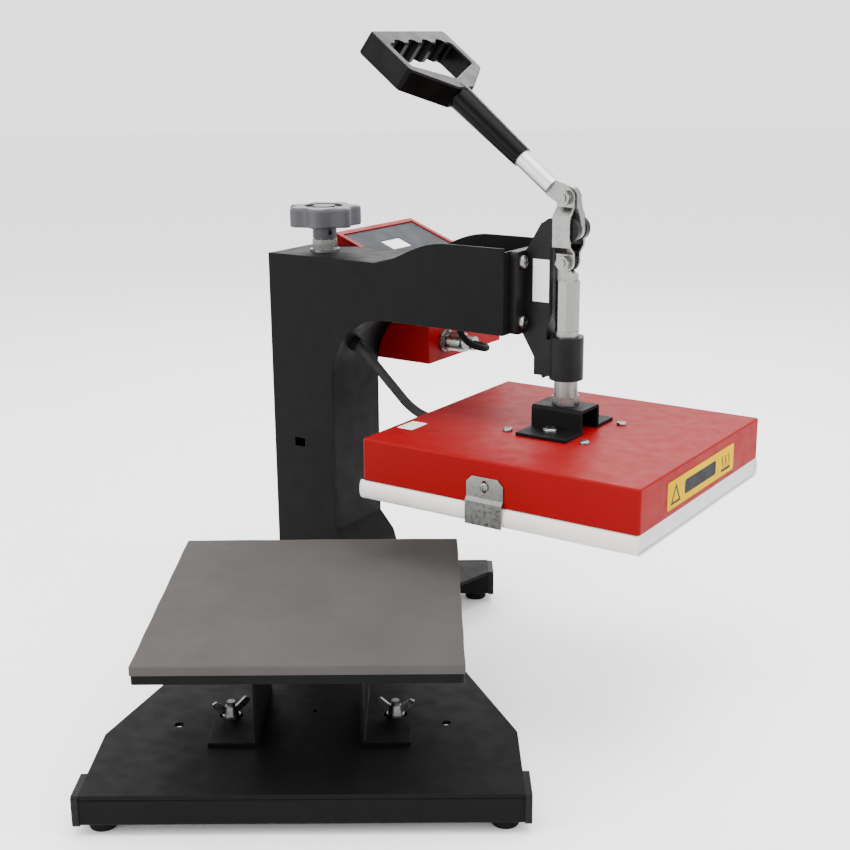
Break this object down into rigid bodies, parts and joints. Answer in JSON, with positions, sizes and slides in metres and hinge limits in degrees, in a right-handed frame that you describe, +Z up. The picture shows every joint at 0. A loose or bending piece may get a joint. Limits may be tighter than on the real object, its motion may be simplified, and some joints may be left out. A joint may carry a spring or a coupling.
{
  "type": "heat press",
  "caption": "Swing-away heat press: steel base, height-adjustable swinging arm with toggle lever, heated platen, padded lower platen and control box.",
  "frame": {"origin": "on the floor under the middle of the overall box at rest; the swing axis stands at X -0.126, Y +0.140", "axes": "+Z up; -Y towards the operator at the front of the base; +X to the operator's right. The arm is stored swung out to +X"},
  "size_m": [0.6482, 0.6262, 0.6695],
  "materials": {
    "black_paint": "satin",
    "black_texture": "textured paint",
    "black_plastic": "matte",
    "black_rubber": "matte",
    "zinc": "zinc plated",
    "bright_steel": "turned",
    "grey_silicone": "matte",
    "white_label": "matte",
    "red_paint": "semi-gloss",
    "slate_overlay": "matte",
    "lcd": "gloss",
    "green_board": "matte",
    "black_cable": "woven",
    "knob_grey": "matte",
    "silver_paint": "silver",
    "black_gloss": "gloss",
    "cast_aluminium": "cast",
    "wool": "matte",
    "ptfe": "satin",
    "yellow_label": "satin",
    "grey_button": "matte"
  },
  "bodies": {
    "base": {"base_plate": "black_paint", "front_cross_tube": "black_paint", "rear_cross_tube": "black_paint", "tube_end_caps": "black_plastic", "rubber_feet": "black_rubber", "base_fasteners": "zinc", "swing_post": "bright_steel", "platen_studs": "zinc"},
    "left_nut": {"left_wing_nut": "zinc"},
    "right_nut": {"right_wing_nut": "zinc"},
    "lower_platen": {"platen_brackets": "black_paint", "platen_screws": "zinc", "lower_plate": "black_paint", "silicone_pad": "grey_silicone"},
    "lift": {"lift_sleeve": "bright_steel"},
    "arm": {"arm_left_plate": "black_paint", "arm_right_plate": "black_paint", "arm_spine": "black_paint", "arm_web": "black_paint", "arm_bearings": "black_paint", "screw_nut": "zinc", "toggle_bracket": "black_texture", "bracket_fasteners": "zinc", "bracket_sticker": "white_label", "control_box_shell": "red_paint", "control_panel": "red_paint", "panel_overlay": "slate_overlay", "lcd_display": "lcd", "mains_inlet": "black_plastic", "inlet_pins": "zinc", "circuit_board": "green_board", "panel_socket": "zinc", "cable_plug": "zinc", "upper_cable": "black_cable", "cable_grommets": "black_rubber"},
    "knob": {"pressure_screw": "zinc", "pressure_knob": "knob_grey"},
    "handle": {"lever_tang": "zinc", "handle_tube": "silver_paint", "handle_grip": "black_gloss"},
    "links": {"link_plates": "zinc", "link_bolts": "zinc"},
    "head": {"plunger": "zinc", "hat_fasteners": "zinc", "hat_bracket": "black_paint", "platen_cover": "red_paint", "cover_screws": "zinc", "standoffs": "bright_steel", "heating_plate": "cast_aluminium", "heating_element": "bright_steel", "insulation": "wool", "ptfe_sheet": "ptfe", "sheet_clips": "zinc", "cover_labels": "yellow_label", "cable_gland": "black_plastic", "heater_cable": "black_cable"},
    "down_key": {"down_button": "grey_button"},
    "set_key": {"set_button": "grey_button"},
    "up_key": {"up_button": "grey_button"},
    "rocker": {"power_rocker": "black_plastic"}
  },
  "joints": [
    {"name": "left_nut_turn", "type": "hinge", "parent": "base", "child": "left_nut", "pos_m": [-0.20409, -0.17307, 0.045], "axis": [0, 0, 1], "continuous": true},
    {"name": "right_nut_turn", "type": "hinge", "parent": "base", "child": "right_nut", "pos_m": [-0.04809, -0.17307, 0.045], "axis": [0, 0, 1], "continuous": true},
    {"name": "platen_shift", "type": "slide", "parent": "base", "child": "lower_platen", "axis": [1, 0, 0], "range_m": [-0.007, 0.007]},
    {"name": "height_adjust", "type": "slide", "parent": "base", "child": "lift", "axis": [0, 0, 1], "range_m": [0, 0.012]},
    {"name": "arm_swing", "type": "hinge", "parent": "lift", "child": "arm", "pos_m": [-0.1261, 0.13993, 0.2], "axis": [0, 0, 1], "range_deg": [-56, 34]},
    {"name": "knob_turn", "type": "hinge", "parent": "arm", "child": "knob", "pos_m": [-0.1261, 0.13993, 0.47], "axis": [0, 0, 1], "range_deg": [0, 2165]},
    {"name": "plunger_slide", "type": "slide", "parent": "arm", "child": "head", "axis": [0, 0, 1], "range_m": [-0.06, 0], "deforming": ["heater_cable"]},
    {"name": "lever_turn", "type": "hinge", "parent": "arm", "child": "handle", "pos_m": [0.12676, -0.03062, 0.484], "axis": [0.5592, 0.829, 0], "range_deg": [0, 196]},
    {"name": "link_turn", "type": "hinge", "parent": "handle", "child": "links", "pos_m": [0.1223, -0.02761, 0.51453], "axis": [0.5592, 0.829, 0], "range_deg": [-196, 0]},
    {"name": "down_press", "type": "slide", "parent": "arm", "child": "down_key", "axis": [-0.2996, 0.2021, -0.9324], "range_m": [0, 0.0012], "stiffness_N_per_m": 400},
    {"name": "set_press", "type": "slide", "parent": "arm", "child": "set_key", "axis": [-0.2996, 0.2021, -0.9324], "range_m": [0, 0.0012], "stiffness_N_per_m": 400},
    {"name": "up_press", "type": "slide", "parent": "arm", "child": "up_key", "axis": [-0.2996, 0.2021, -0.9324], "range_m": [0, 0.0012], "stiffness_N_per_m": 400},
    {"name": "rocker_tilt", "type": "hinge", "parent": "arm", "child": "rocker", "pos_m": [-0.07328, 0.26473, 0.35], "axis": [0.5592, 0.829, 0], "range_deg": [-6, 6]}
  ],
  "couplings": [
    {"joint": "knob_turn", "follows": "height_adjust", "rad_per_m": 3141.6},
    {"joint": "lever_turn", "follows": "plunger_slide", "rad_per_m": -57},
    {"joint": "link_turn", "follows": "plunger_slide", "rad_per_m": 57}
  ]
}
